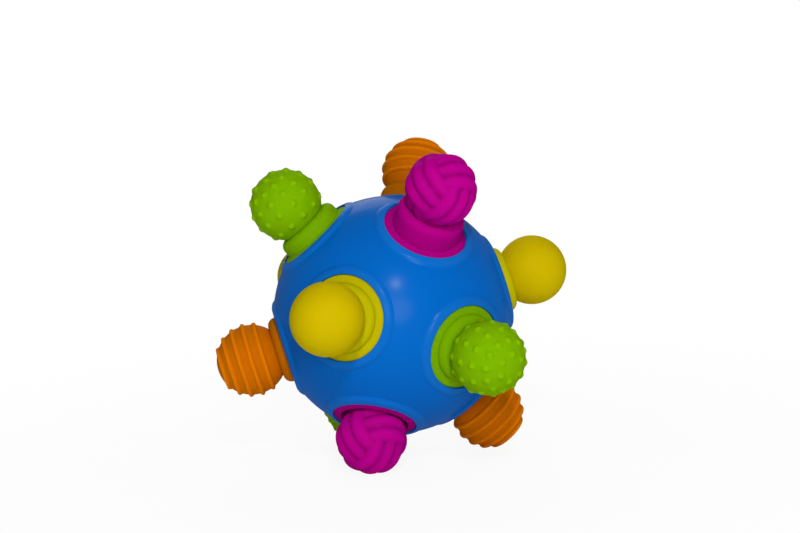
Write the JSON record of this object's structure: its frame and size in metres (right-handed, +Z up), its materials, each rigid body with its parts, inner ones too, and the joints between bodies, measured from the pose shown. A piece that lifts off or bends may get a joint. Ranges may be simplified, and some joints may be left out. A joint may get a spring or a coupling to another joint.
{
  "type": "sensory ball",
  "caption": "Hollow ball with soft round textured knobs all over, linked through the ball in opposite pairs: pulling one knob out draws the other in. Stands on its lower knobs.",
  "frame": {"origin": "on the floor under the middle of the ball", "axes": "+X to the right as the picture shows the ball, +Y away from the viewer, +Z up"},
  "size_m": [0.1483, 0.1418, 0.1317],
  "materials": {
    "shell_blue": "semi-gloss moulded",
    "rubber_yellow": "smooth matte",
    "rubber_green": "matte with nubs",
    "rubber_orange": "matte with ribs",
    "rubber_magenta": "matte wound pattern",
    "inner_white": "plain moulded"
  },
  "bodies": {
    "ball": {"shell_front": "shell_blue", "shell_back": "shell_blue", "ring_yellow_right": "rubber_yellow", "ring_orange_left": "rubber_orange", "ring_yellow_back": "rubber_yellow", "ring_green_right": "rubber_green", "ring_yellow_front": "rubber_yellow", "ring_magenta_back": "rubber_magenta", "ring_magenta_top": "rubber_magenta", "ring_green_foot": "rubber_green", "ring_orange_top": "rubber_orange", "ring_magenta_foot": "rubber_magenta", "ring_green_top": "rubber_green", "ring_orange_foot": "rubber_orange"},
    "pair_1": {"knob_yellow_right": "rubber_yellow", "knob_orange_left": "rubber_orange", "plug_yellow_right": "inner_white", "plug_orange_left": "inner_white", "tie_rod_1": "inner_white"},
    "pair_2": {"knob_yellow_back": "rubber_yellow", "knob_green_right": "rubber_green", "plug_yellow_back": "inner_white", "plug_green_right": "inner_white", "tie_rod_2": "inner_white"},
    "pair_3": {"knob_yellow_front": "rubber_yellow", "knob_magenta_back": "rubber_magenta", "plug_yellow_front": "inner_white", "plug_magenta_back": "inner_white", "tie_rod_3": "inner_white"},
    "pair_4": {"knob_magenta_top": "rubber_magenta", "knob_green_foot": "rubber_green", "plug_magenta_top": "inner_white", "plug_green_foot": "inner_white", "tie_rod_4": "inner_white"},
    "pair_5": {"knob_orange_top": "rubber_orange", "knob_magenta_foot": "rubber_magenta", "plug_orange_top": "inner_white", "plug_magenta_foot": "inner_white", "tie_rod_5": "inner_white"},
    "pair_6": {"knob_green_top": "rubber_green", "knob_orange_foot": "rubber_orange", "plug_green_top": "inner_white", "plug_orange_foot": "inner_white", "tie_rod_6": "inner_white"}
  },
  "joints": [
    {"name": "pull_1", "type": "slide", "parent": "ball", "child": "pair_1", "axis": [0.959, 0.1257, 0.2539], "range_m": [-0.0065, 0.0065]},
    {"name": "pull_2", "type": "slide", "parent": "ball", "child": "pair_2", "axis": [-0.6109, 0.7749, 0.1625], "range_m": [-0.0065, 0.0065]},
    {"name": "pull_3", "type": "slide", "parent": "ball", "child": "pair_3", "axis": [-0.3853, -0.9113, 0.1451], "range_m": [-0.0065, 0.0065]},
    {"name": "pull_4", "type": "slide", "parent": "ball", "child": "pair_4", "axis": [0.3175, -0.4963, 0.808], "range_m": [-0.013, 0]},
    {"name": "pull_5", "type": "slide", "parent": "ball", "child": "pair_5", "axis": [0.178, 0.5458, 0.8188], "range_m": [-0.013, 0]},
    {"name": "pull_6", "type": "slide", "parent": "ball", "child": "pair_6", "axis": [-0.6528, -0.0951, 0.7515], "range_m": [-0.0091, 0.0039]}
  ]
}
